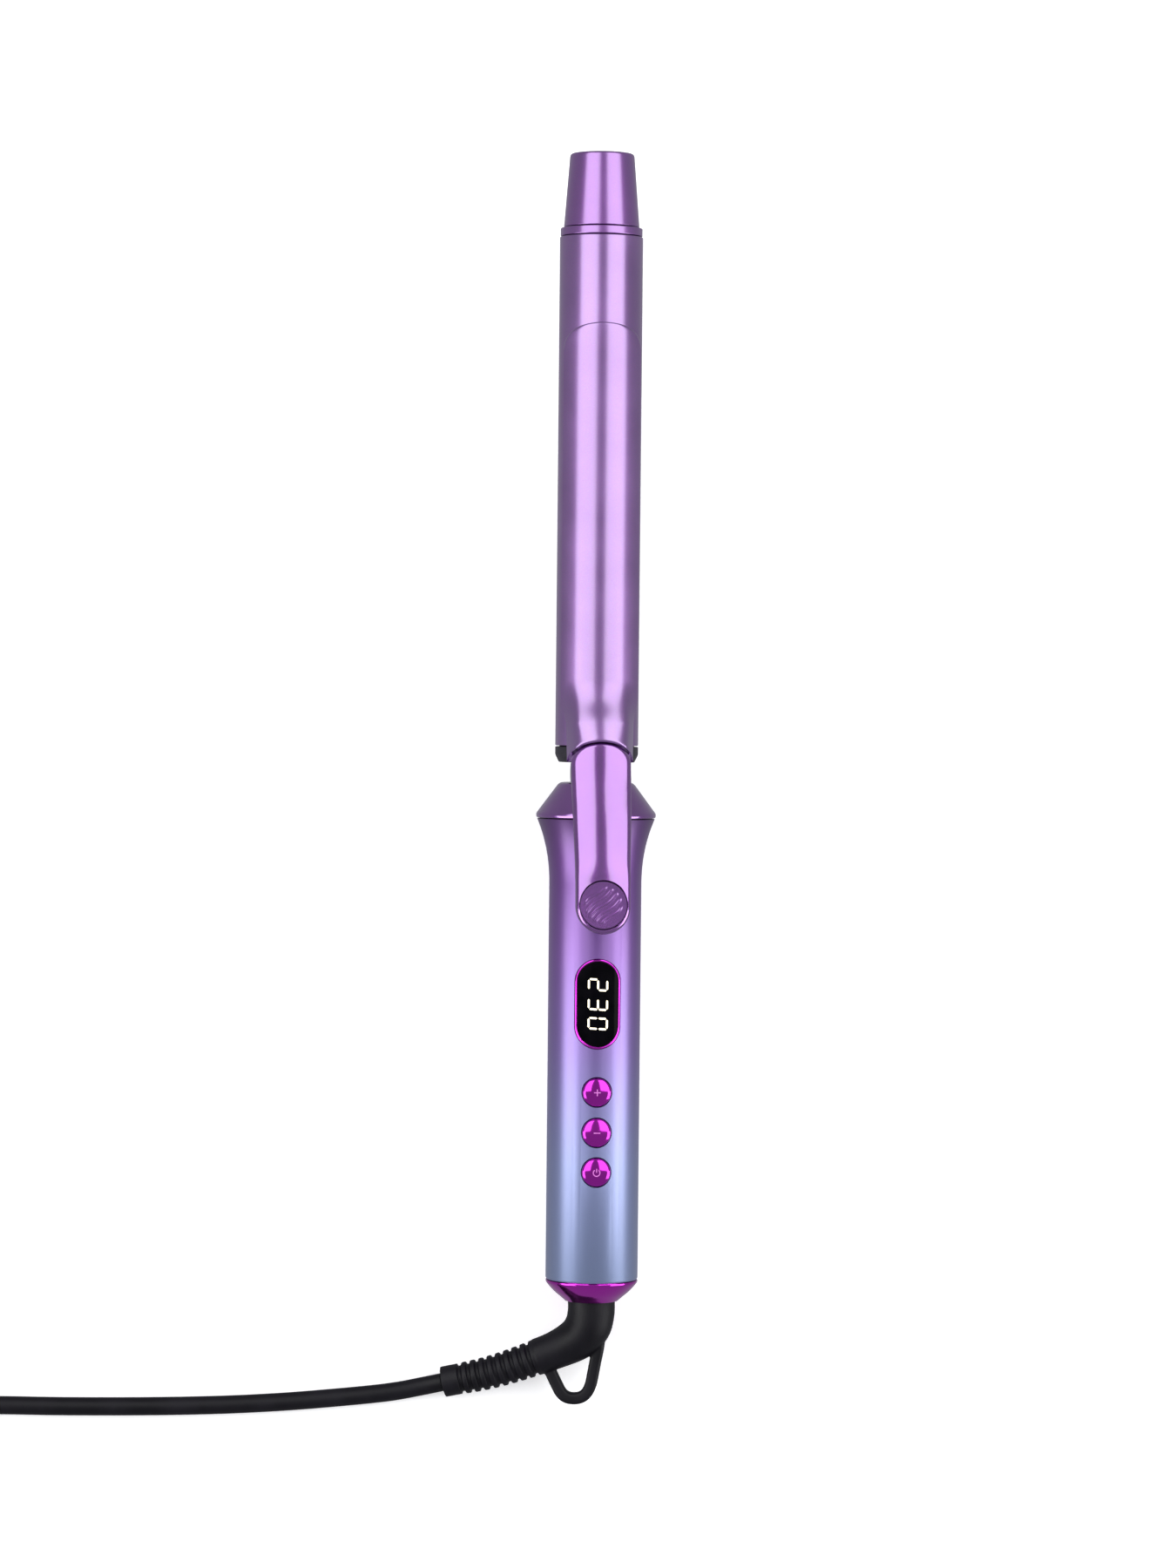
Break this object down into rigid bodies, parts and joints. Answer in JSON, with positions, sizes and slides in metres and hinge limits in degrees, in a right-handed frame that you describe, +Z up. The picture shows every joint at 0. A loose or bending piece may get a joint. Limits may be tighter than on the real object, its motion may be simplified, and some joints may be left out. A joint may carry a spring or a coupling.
{
  "type": "curling iron",
  "caption": "Clip curling iron with a slim heated barrel, thumb lever, flared handle, display window, domed buttons and a swivel cord with a hang loop.",
  "frame": {"origin": "on the surface it lies on, below the middle of the iron without its cord and swivel boot", "axes": "+Y along the iron towards its tip, +Z up, away from the surface, the way the lever and buttons face; +X to the right of a user who sees the tip ahead"},
  "size_m": [0.3017, 0.3814, 0.0495],
  "materials": {
    "pearl_violet": "pearl metallic lacquer",
    "lever_violet": "glossy metallic lacquer",
    "tip_violet": "satin metallic lacquer",
    "handle_fade": "satin pearl fade from purple to blue",
    "magenta_chrome": "magenta electroplated",
    "black_plastic": "satin",
    "grey_plastic": "moulded",
    "black_rubber": "soft satin",
    "window_glass": "dark window",
    "aluminium": "extruded",
    "steel": "plain",
    "brass": "turned",
    "ceramic": "fired",
    "board_green": "solder mask",
    "wire_red": "sleeved",
    "wire_blue": "sleeved",
    "wire_white": "sleeved"
  },
  "bodies": {
    "handle": {"barrel_tube": "pearl_violet", "tip_cap": "tip_violet", "tip_insulator": "tip_violet", "barrel_base_ring": "black_plastic", "heater_block_upper": "aluminium", "heater_block_lower": "aluminium", "heater_plate": "ceramic", "thermistor": "ceramic", "thermistor_lead": "wire_white", "heater_lead_live": "wire_red", "heater_lead_neutral": "wire_blue", "neck_bracket": "steel", "hinge_pin": "steel", "clip_spring": "steel", "collar_cone": "lever_violet", "handle_sleeve": "handle_fade", "end_cap": "magenta_chrome", "inner_frame": "grey_plastic", "circuit_board": "board_green", "board_screw_front": "steel", "board_screw_rear": "steel", "control_chip": "black_plastic", "triac": "black_plastic", "filter_capacitor": "wire_blue", "display_module": "grey_plastic", "display_lens": "window_glass", "display_bezel": "magenta_chrome", "tact_switch_plus": "black_plastic", "tact_switch_minus": "black_plastic", "tact_switch_power": "black_plastic", "swivel_socket": "grey_plastic", "brush_live": "brass", "brush_neutral": "brass", "mains_lead_live": "wire_red", "mains_lead_neutral": "wire_blue", "power_cord": "black_rubber", "cord_coil": "black_rubber", "cord_tail": "black_rubber", "plug_body": "black_plastic", "plug_pin_left": "steel", "plug_pin_right": "steel"},
    "clip": {"clip_plate": "pearl_violet", "lever": "lever_violet", "thumb_pad": "lever_violet", "lever_screw_left": "steel", "lever_screw_right": "steel"},
    "plus_button": {"button_plus": "magenta_chrome"},
    "minus_button": {"button_minus": "magenta_chrome"},
    "power_button": {"button_power": "magenta_chrome"},
    "swivel": {"swivel_boot": "black_rubber", "swivel_hub": "grey_plastic", "slip_ring_live": "brass", "slip_ring_neutral": "brass", "hub_retainer": "steel"}
  },
  "joints": [
    {"name": "clip_hinge", "type": "hinge", "parent": "handle", "child": "clip", "pos_m": [0, -0.01356, 0.03046], "axis": [1, 0, 0], "range_deg": [0, 14.5], "stiffness_Nm_per_rad": 0.15, "springref_deg": -28.65},
    {"name": "plus_press", "type": "slide", "parent": "handle", "child": "plus_button", "axis": [0, 0.0298, -0.9996], "range_m": [0, 0.0005], "stiffness_N_per_m": 1500, "springref_m": -0.0003},
    {"name": "minus_press", "type": "slide", "parent": "handle", "child": "minus_button", "axis": [0, 0.0298, -0.9996], "range_m": [0, 0.0005], "stiffness_N_per_m": 1500, "springref_m": -0.0003},
    {"name": "power_press", "type": "slide", "parent": "handle", "child": "power_button", "axis": [0, 0.0298, -0.9996], "range_m": [0, 0.0005], "stiffness_N_per_m": 1500, "springref_m": -0.0003},
    {"name": "cord_swivel", "type": "hinge", "parent": "handle", "child": "swivel", "pos_m": [0, -0.17993, 0.0135], "axis": [0, 0.9996, 0.0298], "continuous": true}
  ]
}
